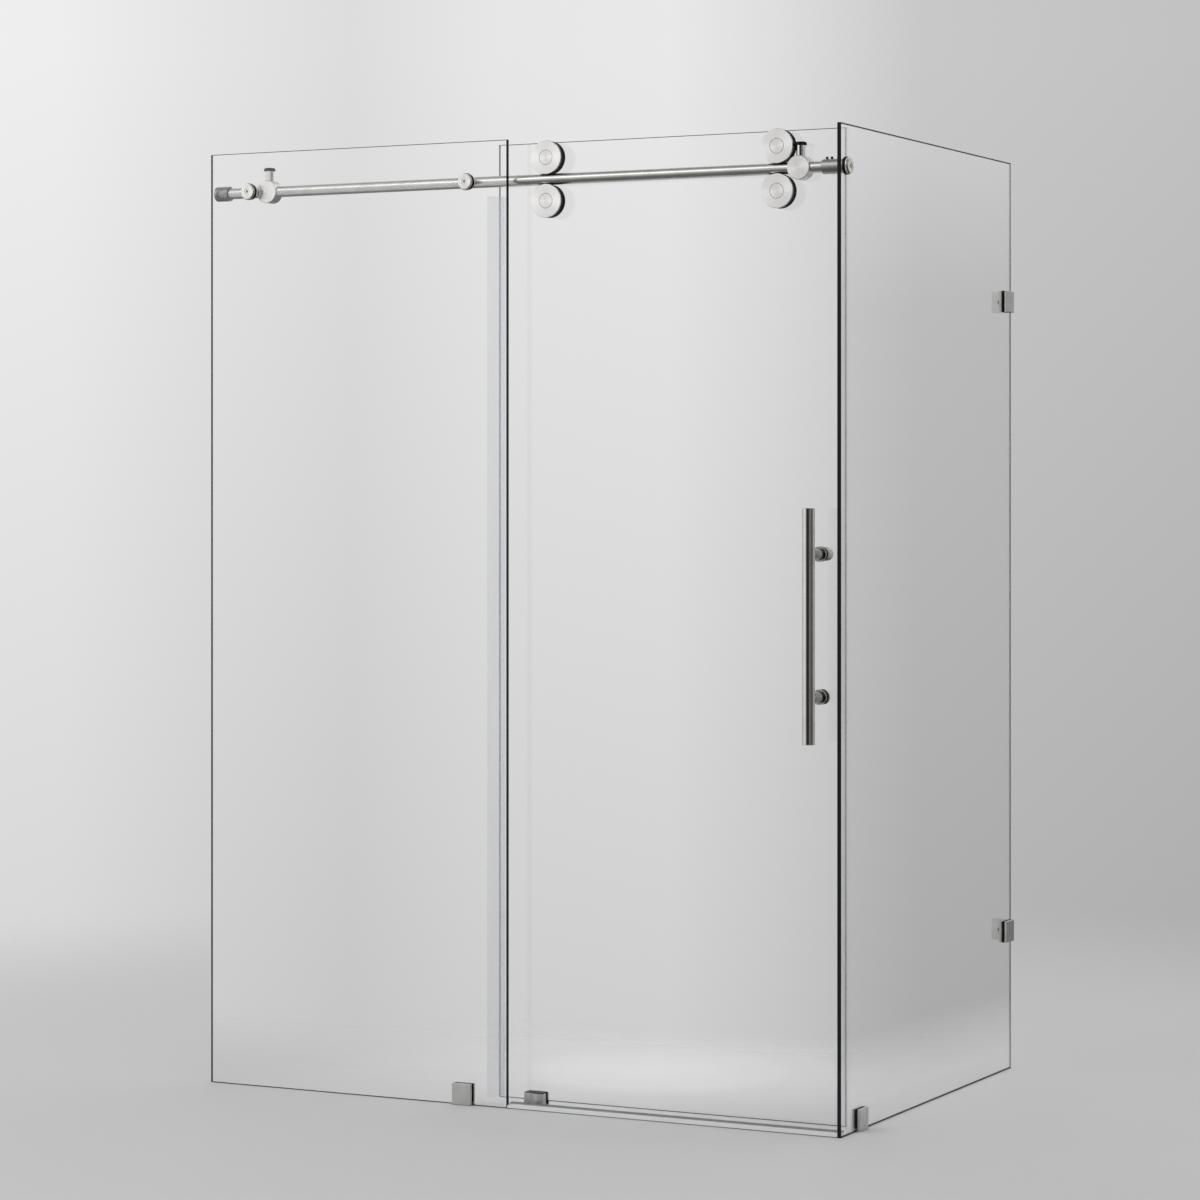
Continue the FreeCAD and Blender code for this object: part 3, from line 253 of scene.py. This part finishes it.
def extruded_clear_pvc(name, drawn, face_on, edge_on):
    """Clear soft PVC, extruded. It dims what is behind it a little and tints it blue, more so where
    a wall is seen along its length. The last two values are how much it hides, seen from in front
    and along its length. The lines of the die are their length in mm on each axis. Real ones are
    some 0.3 mm apart, drawn 2 mm apart so that they show."""
    material, tree, shader, place = new_material(name, IOR=1.45)
    lines = drawn_out(tree, place, drawn, 1.0)
    colour = add(tree, "Mix", {
        SHARE: lines, FIRST: linear("#8A939F"), SECOND: linear("#DEE4EC"),
    }, data_type="RGBA").outputs[MIXED]
    gloss = add(tree, "MapRange", {"Value": lines, "To Min": 0.15, "To Max": 0.25}).outputs[0]
    grazing = add(tree, "LayerWeight", {"Blend": 0.5}).outputs["Facing"]
    cloudy = add(tree, "MapRange", {
        "Value": grazing, "From Min": 0.4, "From Max": 1.0, "To Min": face_on, "To Max": edge_on,
    }).outputs[0]
    connect(tree, shader, Base_Color=colour, Roughness=gloss, Alpha=cloudy)
    return material


def solid_clear_pvc_bar(name, drawn, crest, front_top, foot):
    """Clear PVC extruded as a solid bar. Its body is painted in the floor's tone, painted light for
    the floor that the bar would bend to the eye, and its two long edges are painted as dark lines,
    painted shade, the upper one between the crest's heights and the lower one between the foot's.
    All heights and the lengths of the die's lines, which are drawn coarser than life so that they
    show, are in mm."""
    material, tree, shader, place = new_material(name, IOR=1.53, Alpha=0.85)
    lines = drawn_out(tree, place, drawn, 1.0)
    # The body's pale colour is the floor's tone painted in: painted light
    slope = add(tree, "Mix", {
        SHARE: lines, FIRST: linear("#E0E0E2"), SECOND: linear("#EAEAEC"),
    }, data_type="RGBA").outputs[MIXED]
    height = add(tree, "SeparateXYZ", {0: place}).outputs["Z"]
    # The upright front face stands in less light than the slope above it but looks as bright, so
    # that it is drawn paler
    below_slope = front_top - 0.3
    front = add(tree, "MapRange", {
        "Value": height, "From Min": front_top * MM, "From Max": below_slope * MM,
    }).outputs[0]
    body = add(tree, "Mix", {
        SHARE: front, FIRST: slope, SECOND: linear("#FCFCFD"),
    }, data_type="RGBA").outputs[MIXED]
    painted_crest_line = add(tree, "MapRange", {
        "Value": height, "From Min": crest[0] * MM, "From Max": crest[1] * MM,
    }).outputs[0]
    low = add(tree, "MapRange", {
        "Value": height, "From Min": foot[1] * MM, "From Max": foot[0] * MM,
    }).outputs[0]
    # Dark lines at the crest and at the foot: painted shade
    edge = add(tree, "Math", {0: painted_crest_line, 1: low}, operation="MAXIMUM").outputs[0]
    colour = add(tree, "Mix", {
        SHARE: edge, FIRST: body, SECOND: linear("#646567"),
    }, data_type="RGBA").outputs[MIXED]
    gloss = add(tree, "MapRange", {"Value": lines, "To Min": 0.15, "To Max": 0.25}).outputs[0]
    connect(tree, shader, Base_Color=colour, Roughness=gloss)
    return material


def toughened_float_glass(name, across, box, rim):
    """Clear float glass, cut, ground on its edges and toughened. Its faces are clear. The ground
    edges and arrises are painted almost black, painted shade for the light they swallow from inside
    the sheet, and so is the rim of each face, whose width is given in mm on each axis."""
    material, tree, shader, place = new_material(name, IOR=1.52)
    # A face of the sheet looks straight across it, at 1, an arris at 0.71 and an edge at 0
    arris, flat = 0.75, 0.85
    normal = add(
        tree, "VectorTransform", {0: add(tree, "NewGeometry").outputs["True Normal"]},
        vector_type="NORMAL", convert_from="WORLD", convert_to="OBJECT",
    ).outputs[0]
    lean = add(
        tree, "VectorMath", {0: normal, 1: across}, operation="DOT_PRODUCT",
    ).outputs["Value"]
    either_way = add(tree, "Math", {0: lean}, operation="ABSOLUTE").outputs[0]
    level = add(tree, "MapRange", {
        "Value": either_way, "From Min": arris, "From Max": flat,
    }).outputs[0]

    # How far a place is past the clear part of its face, on the axis where it is furthest past
    soft = 0.1 * MM
    centre = tuple((a + b) / 2 for a, b in zip(*box))
    clear = tuple((b - a) / 2 - width * MM for a, b, width in zip(*box, rim))
    offset = add(tree, "VectorMath", {0: place, 1: centre}, operation="SUBTRACT").outputs[0]
    reach = add(tree, "VectorMath", {0: offset}, operation="ABSOLUTE").outputs[0]
    beyond = add(tree, "VectorMath", {0: reach, 1: clear}, operation="SUBTRACT").outputs[0]
    past = add(tree, "SeparateXYZ", {0: beyond}).outputs
    further = add(tree, "Math", {0: past["X"], 1: past["Y"]}, operation="MAXIMUM").outputs[0]
    furthest = add(tree, "Math", {0: further, 1: past["Z"]}, operation="MAXIMUM").outputs[0]
    # 1 on the clear part of a face, 0 on its rim, which is painted dark: painted shade
    inner = add(tree, "MapRange", {
        "Value": furthest, "From Min": soft, "From Max": 0.0,
    }).outputs[0]
    face = add(tree, "Math", {0: level, 1: inner}, operation="MULTIPLY").outputs[0]

    # The grinding wheel leaves a grain of some 0.1 mm, drawn 1.5 mm long so that it shows
    grit = 1.5 * MM
    ground = add(tree, "TexNoise", {
        "Vector": place, "Scale": 1.0 / grit, "Detail": 2.0,
    }).outputs["Fac"]
    # Near-black colour of the ground edges, arrises and face rims: painted shade
    edge = add(tree, "Mix", {
        SHARE: ground, FIRST: linear("#060708"), SECOND: linear("#15191A"),
    }, data_type="RGBA").outputs[MIXED]
    colour = add(tree, "Mix", {
        SHARE: face, FIRST: edge, SECOND: linear("#FEFEFE"),
    }, data_type="RGBA").outputs[MIXED]
    gloss = add(tree, "MapRange", {"Value": face, "To Min": 0.5, "To Max": 0.0}).outputs[0]
    gleam = add(tree, "MapRange", {"Value": face, "To Min": 0.2, "To Max": 0.5}).outputs[0]
    connect(
        tree, shader, Base_Color=colour, Roughness=gloss, Specular_IOR_Level=gleam,
        Transmission_Weight=face,
    )
    return material


# What each node wears

def dress(material, *names):
    """Give CAD nodes a finish through their own material slots."""
    for name in names:
        for slot in nodes[name].material_slots:
            slot.material = material


def middle(name):
    """The centre of a node's box."""
    low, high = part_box(name)
    return tuple((a + b) / 2 for a, b in zip(low, high))


def row_of(first, last):
    """The place half way between two like pieces turned about y, and how far they stand from it."""
    (x1, y, z1), (x2, _, z2) = middle(first), middle(last)
    return ((x1 + x2) / 2, y, (z1 + z2) / 2), (abs(x2 - x1) / 2, 0.0, abs(z2 - z1) / 2)


wheels = ("left_upper", "left_lower", "right_upper", "right_lower")

# Panes, with the width in mm of the dark rim painted on each, painted shade. There is none across
# the sheet, where its faces are
NO_PAINTED_RIM = -1000.0
for pane, across, rim in (
    ("fixed_panel_glass", ALONG_Y, (1.6, NO_PAINTED_RIM, 0.9)),
    ("door_glass", ALONG_Y, (0.8, NO_PAINTED_RIM, 0.8)),
    ("side_panel_glass", ALONG_X, (NO_PAINTED_RIM, 0.8, 2.4)),
):
    dress(toughened_float_glass(pane + "_float", across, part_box(pane), rim), pane)
    nodes[pane].visible_shadow = False

# Satin steel, ground along the rail and the handle and level round the clamps
rail_steel = belt_ground_stainless(
    "satin_stainless_rail", scratch=(120.0, 1.2, 1.2), dark="#C6C5C2", light="#D6D5D2",
    rough=(0.24, 0.31),
)
dress(rail_steel, "guide_rail")
bar_steel = belt_ground_stainless(
    "satin_stainless_bar", scratch=(1.6, 1.6, 120.0), dark="#CCCAC6", light="#DCDAD6",
    rough=(0.11, 0.17),
)
dress(bar_steel, "handle_bar")
clamp_steel = belt_ground_stainless(
    "satin_stainless_clamps", scratch=(25.0, 25.0, 1.2), dark="#BEBDBA", light="#CFCECB",
    rough=(0.3, 0.4),
)
dress(
    clamp_steel, "floor_clamp_front_outer", "floor_clamp_front_inner", "floor_clamp_side_outer",
    "floor_clamp_side_inner", "wall_clamp_upper_bracket", "wall_clamp_upper_plate",
    "wall_clamp_lower_bracket", "wall_clamp_lower_plate", "door_guide_body",
)

# Turned pieces that are a node each, with the darkest and lightest tone of their steel
for name, axis, dark, light in (
    ("rail_wall_socket", ALONG_X, "#8F8E8C", "#979694"),
    ("rail_glass_collar", ALONG_X, "#A4A3A0", "#B2B1AE"),
    ("rail_end_cap", ALONG_X, "#DEDCD8", "#E8E6E3"),
    *(
        (piece + side, ALONG_Y, "#ECEAE7", "#F3F2EF")
        for side in ("left", "right")
        for piece in ("standoff_cap_", "standoff_boss_", "stopper_body_")
    ),
    *(("roller_disc_" + wheel, ALONG_Y, "#F3F2F0", "#FAF9F8") for wheel in wheels),
):
    dress(lathe_turned_stainless(name + "_stainless", middle(name), axis, dark, light), name)
end_bolt_steel = lathe_turned_stainless(
    "end_bolt_stainless", middle("rail_end_bolt"), ALONG_X, "#CBC9C5", "#DAD9D6",
)
dress(end_bolt_steel, "rail_end_bolt")
for wheel in wheels:
    bearing_steel = lathe_turned_stainless(
        "bearing_%s_steel" % wheel, middle("roller_disc_" + wheel), ALONG_Y,
        "#A8A7A5", "#C6C5C3", POLISHED,
    )
    dress(bearing_steel, "roller_bearing_" + wheel)

# Turned pieces of which one node holds several
bolts = row_of("standoff_cap_left", "standoff_cap_right")
hubs = row_of("roller_disc_left_upper", "roller_disc_right_lower")
posts = row_of("handle_knob_inner", "handle_cap_inner")
for name, (centre, spread), dark, light, rough, wearers in (
    ("standoff_bolt", bolts, "#E0DEDA", "#E8E6E3", TURNED, ["standoff_bolts"]),
    ("roller_hub", hubs, "#EFEDEA", "#F6F5F3", TURNED,
     ["roller_axles", "roller_spacers", "roller_back_caps"]),
    # The posts' steel is drawn darker than the knob's and the bar's: painted shade
    ("handle_post", posts, "#92908C", "#A2A09C", POLISHED, ["handle_posts"]),
    ("handle_knob", posts, "#D6D4D0", "#E2E0DC", BRIGHT,
     ["handle_knob_inner", "handle_cap_inner"]),
):
    steel = lathe_turned_stainless(
        name + "_stainless", centre, ALONG_Y, dark, light, rough, spread,
    )
    dress(steel, *wearers)

pin_steel = mirror_polished_stainless("polished_stainless_pins", haze=(2.0, 2.0, 8.0))
dress(pin_steel, "stopper_pin_left", "stopper_pin_right")
screw_steel = black_oxide_steel("black_oxide_screws")
dress(screw_steel, "rail_set_screws", "clamp_screws", "handle_studs")

rubber = moulded_black(
    "moulded_epdm_rubber", ior=1.52, gleam=0.2, dark="#09090A", light="#141415",
    rough=(0.5, 0.65), grain=0.9, depth=0.03,
)
dress(
    rubber, "rail_end_gaskets", "standoff_gaskets", "stopper_bumper_left", "stopper_bumper_right",
    "clamp_pads", "handle_gaskets", "roller_gaskets",
)
nylon = moulded_black(
    "moulded_black_nylon", ior=1.53, gleam=0.2, dark="#070708", light="#101011",
    rough=(0.4, 0.5), grain=2.0, depth=0.02,
)
dress(nylon, "door_guide_liner", *["roller_wheel_" + wheel for wheel in wheels])

# Clear PVC, drawn upright for the seals and along the front for the sill
for name, node, drawn, face_on, edge_on in (
    ("clear_pvc_trailing_seal", "trailing_seal", (2.0, 2.0, 300.0), 0.16, 0.3),
    ("clear_pvc_leading_seal", "leading_seal", (2.0, 2.0, 300.0), 0.03, 0.24),
    ("clear_pvc_washers", "handle_washers", (2.0, 2.0, 2.0), 0.05, 0.3),
):
    dress(extruded_clear_pvc(name, drawn, face_on, edge_on), node)
    nodes[node].visible_shadow = False
sill_pvc = solid_clear_pvc_bar(
    "clear_pvc_sill", drawn=(300.0, 2.0, 2.0), crest=(7.5, 9.0), front_top=5.5, foot=(0.8, 1.8),
)
dress(sill_pvc, "sill_strip")
nodes["sill_strip"].visible_shadow = False


# Fasteners that the solids leave out

def wall_screw(name, bracket, steel):
    """Raised screw head with a hexagon socket, driven through a clamp's wall leg."""
    leg_thickness, from_end = 5.0 * MM, 18.0 * MM
    radius, height, bevel = 4.6 * MM, 2.4 * MM, 0.9 * MM
    socket_radius, socket_depth = 1.85 * MM, 1.4 * MM
    low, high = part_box(bracket)
    seat = high[1] - leg_thickness
    place = (high[0] - from_end, seat - height / 2, (low[2] + high[2]) / 2)
    bpy.ops.mesh.primitive_cylinder_add(
        vertices=48, radius=radius, depth=height, location=place,
        rotation=(QUARTER_TURN, 0.0, 0.0),
    )
    head = bpy.context.object
    bpy.ops.object.transform_apply(location=False, rotation=True, scale=False)

    # The rim of its front face, which looks along -y, is rounded off
    bpy.ops.object.mode_set(mode="EDIT")
    bpy.ops.mesh.select_all(action="DESELECT")
    bpy.ops.object.mode_set(mode="OBJECT")
    for face in head.data.polygons:
        face.select = face.normal.y < -0.9
    bpy.ops.object.mode_set(mode="EDIT")
    bpy.ops.mesh.bevel(offset=bevel, segments=3, affect="EDGES")
    bpy.ops.object.mode_set(mode="OBJECT")

    # The socket is cut by a key that reaches out as far as it reaches in
    bpy.ops.mesh.primitive_cylinder_add(
        vertices=6, radius=socket_radius, depth=2 * socket_depth,
        location=(place[0], seat - height, place[2]), rotation=(QUARTER_TURN, 0.0, 0.0),
    )
    key = bpy.context.object
    cut = head.modifiers.new("socket", "BOOLEAN")
    cut.operation = "DIFFERENCE"
    cut.solver = "EXACT"
    cut.object = key
    bpy.context.view_layer.objects.active = head
    bpy.ops.object.modifier_apply(modifier=cut.name)
    bpy.data.objects.remove(key)

    head.select_set(True)
    bpy.ops.object.shade_smooth_by_angle(angle=math.radians(30.0))
    bpy.ops.object.transform_apply(location=True, rotation=True, scale=True)
    head.name = name
    head.data.name = name
    head.data.materials.clear()
    head.data.materials.append(steel)
    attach(head, "enclosure")
    bpy.ops.object.select_all(action="DESELECT")


wall_screw("wall_screw_head_upper", "wall_clamp_upper_bracket", screw_steel)
wall_screw("wall_screw_head_lower", "wall_clamp_lower_bracket", screw_steel)


# Floor, which fades out from the part, in metres from its middle

FLOOR_RADIUS, FADE_START, FADE_END = 9.0, 1.2, 3.6
# Just under the part, so that the two don't meet in one plane
FLOOR_HEIGHT = -0.5 * MM
# Metal shows the floor only this close to it, as a studio floor ends in dark all round
MIRRORED_WHOLE, MIRRORED_LAST = 0.3, 1.2

bpy.ops.mesh.primitive_circle_add(
    vertices=128, radius=FLOOR_RADIUS, fill_type="NGON", location=(0.0, 0.0, FLOOR_HEIGHT),
)
floor = bpy.context.object
floor.name = "floor"
bpy.ops.object.transform_apply(location=True, rotation=True, scale=True)
floor_paint, tree, shader, place = new_material("floor_paint", Roughness=0.6)
shader.inputs["Base Color"].default_value = linear("#DBDBDC")
distance = add(tree, "VectorMath", {0: place}, operation="LENGTH").outputs["Value"]
near = add(
    tree, "MapRange", {
        "Value": distance, "From Min": FADE_START, "From Max": FADE_END,
        "To Min": 1.0, "To Max": 0.0,
    },
    interpolation_type="SMOOTHERSTEP",
).outputs[0]
path = add(tree, "LightPath").outputs
far = add(tree, "MapRange", {
    "Value": path["Ray Length"], "From Min": MIRRORED_WHOLE, "From Max": MIRRORED_LAST,
}).outputs[0]
lost = add(tree, "Math", {0: path["Is Glossy Ray"], 1: far}, operation="MULTIPLY").outputs[0]
kept = add(tree, "Math", {0: 1.0, 1: lost}, operation="SUBTRACT").outputs[0]
alpha = add(tree, "Math", {0: near, 1: kept}, operation="MULTIPLY").outputs[0]
connect(tree, shader, Alpha=alpha)
floor.data.materials.append(floor_paint)


# Background, by the direction of a ray

TO_LEFT = (-0.891, -0.453, 0.0)
TO_FRONT = (0.453, -0.891, 0.0)

# What stands behind the glass, from right to left: a pale backdrop
BACKDROP = (
    (-0.20, "#B6B6B6"), (-0.14, "#BBBBBB"), (-0.09, "#BFBFBF"), (-0.05, "#D4D4D4"),
    (-0.02, "#DEDEDE"), (0.03, "#DCDCDC"), (0.07, "#D3D3D3"), (0.11, "#DADADA"),
    (0.15, "#E4E3E4"), (0.20, "#E6E5E6"),
)
# It brightens upward: a height below the horizon with its strength there, and one above it
DIP, RISE = (-0.15, 0.86), (0.125, 1.11)

# What metal mirrors, round the horizon from behind by way of the right, in degrees: dim, a dark
# flag in front, and bright soft boxes on the left
ROUND_ABOUT = (
    (-180, "#8A8A8A"), (-136, "#949494"), (-104, "#909090"), (-80, "#727272"), (-60, "#646464"),
    (-42, "#626262"), (-24, "#8E8E8E"), (-12, "#646464"), (2, "#2C2C2C"), (14, "#222222"),
    (30, "#282828"), (37, "#505050"), (43, "#989898"), (50, "#DADADA"), (57, "#FAFAFA"),
    (64, "#FFFFFF"), (84, "#FFFFFF"), (104, "#DEDEDE"), (140, "#D8D8D8"), (180, "#D2D2D2"),
)
# The flag and the dim side end between these heights over and under the horizon
FLAG_WHOLE, FLAG_END = 0.1, 0.3
# What it mirrors from straight below to straight above
UP_AND_DOWN = (
    (-1.0, "#606060"), (-0.5, "#787878"), (-0.25, "#A4A4A4"), (-0.1, "#D8D8D8"),
    (0.0, "#F0F0F0"), (0.2, "#FCFCFC"), (0.65, "#FFFFFF"), (0.8, "#BCBCBC"),
    (0.95, "#909090"), (1.0, "#909090"),
)
# A pale panel high up behind on the right, which the end of the rail mirrors: its soft lower edge,
# and its two soft sides in radians round the horizon
PANEL_FOOT, PANEL_RIGHT, PANEL_LEFT = (0.055, 0.1), (-2.9, -2.6), (-1.6, -1.8)

world = bpy.data.worlds.new("studio")
world.use_nodes = True
scene.world = world
tree = world.node_tree
tree.nodes.clear()
direction = add(tree, "TexCoord").outputs["Generated"]
leftward = add(
    tree, "VectorMath", {0: direction, 1: TO_LEFT}, operation="DOT_PRODUCT",
).outputs["Value"]
frontward = add(
    tree, "VectorMath", {0: direction, 1: TO_FRONT}, operation="DOT_PRODUCT",
).outputs["Value"]
upward = add(tree, "SeparateXYZ", {0: direction}).outputs["Z"]
heading = add(tree, "Math", {0: leftward, 1: frontward}, operation="ARCTAN2").outputs[0]

greys = []
for amount, stops in (
    (leftward, BACKDROP),
    (heading, [(math.radians(angle), colour) for angle, colour in ROUND_ABOUT]),
    (upward, UP_AND_DOWN),
):
    low, high = stops[0][0], stops[-1][0]
    share = add(tree, "MapRange", {"Value": amount, "From Min": low, "From Max": high}).outputs[0]
    ramp = add(tree, "ValToRGB", {"Fac": share})
    while len(ramp.color_ramp.elements) < len(stops):
        ramp.color_ramp.elements.new(1.0)
    for element, (value, colour) in zip(ramp.color_ramp.elements, stops):
        element.position = (value - low) / (high - low)
        element.color = linear(colour)
    greys.append(ramp.outputs["Color"])
backdrop, round_about, up_and_down = greys

falling = add(tree, "MapRange", {
    "Value": upward, "From Min": DIP[0], "From Max": RISE[0], "To Min": DIP[1], "To Max": RISE[1],
}).outputs[0]
steep = add(tree, "Math", {0: upward}, operation="ABSOLUTE").outputs[0]
off_level = add(tree, "MapRange", {
    "Value": steep, "From Min": FLAG_WHOLE, "From Max": FLAG_END,
}).outputs[0]
flagged = add(tree, "Mix", {
    SHARE: off_level, FIRST: round_about, SECOND: linear("#9C9C9C"),
}, data_type="RGBA", blend_type="LIGHTEN").outputs[MIXED]
studio = add(tree, "Mix", {
    SHARE: 1.0, FIRST: flagged, SECOND: up_and_down,
}, data_type="RGBA", blend_type="MULTIPLY").outputs[MIXED]
above, begun, unended = (
    add(tree, "MapRange", {"Value": amount, "From Min": edge[0], "From Max": edge[1]}).outputs[0]
    for amount, edge in ((upward, PANEL_FOOT), (heading, PANEL_RIGHT), (heading, PANEL_LEFT))
)
between = add(tree, "Math", {0: begun, 1: unended}, operation="MULTIPLY").outputs[0]
panel = add(tree, "Math", {0: above, 1: between}, operation="MULTIPLY").outputs[0]
mirror = add(tree, "Mix", {
    SHARE: panel, FIRST: studio, SECOND: linear("#DCDCDC"),
}, data_type="RGBA").outputs[MIXED]

path = add(tree, "LightPath").outputs
even = add(tree, "Background", {"Color": linear("#E1E1E1"), "Strength": 0.9}).outputs[0]
mirrored = add(tree, "Background", {"Color": mirror, "Strength": 1.15}).outputs[0]
shown = add(tree, "Background", {"Color": backdrop, "Strength": falling}).outputs[0]
seen = add(
    tree, "Math", {0: path["Is Camera Ray"], 1: path["Is Transmission Ray"]}, operation="MAXIMUM",
).outputs[0]
lit = add(tree, "MixShader", {0: path["Is Glossy Ray"], 1: even, 2: mirrored}).outputs[0]
whole = add(tree, "MixShader", {0: seen, 1: lit, 2: shown}).outputs[0]
add(tree, "OutputWorld", {"Surface": whole})


# Lamps

def soft_lamp(name, place, target, size, watts, spread=180.0):
    """Rectangular soft lamp that faces a point. Its size is in metres and its spread in degrees."""
    data = bpy.data.lights.new(name, "AREA")
    data.shape = "RECTANGLE"
    data.size, data.size_y = size
    data.energy = watts
    data.spread = math.radians(spread)
    lamp = bpy.data.objects.new(name, data)
    lamp.location = place
    lamp.rotation_euler = (Vector(target) - Vector(place)).to_track_quat("-Z", "Y").to_euler()
    scene.collection.objects.link(lamp)


soft_lamp("lamp_left", (-4.2, -1.6, 3.9), (0.0, 0.0, 1.1), (1.8, 1.8), watts=26.0)
soft_lamp("lamp_front", (-2.4, -4.6, 4.6), (0.0, 0.0, 1.0), (2.2, 1.6), watts=18.0)
# A narrow one that lays a pool of light on the floor inside
soft_lamp("lamp_above", (0.05, 0.12, 3.6), (0.05, 0.12, 0.0), (0.6, 0.4), watts=0.7, spread=20.0)
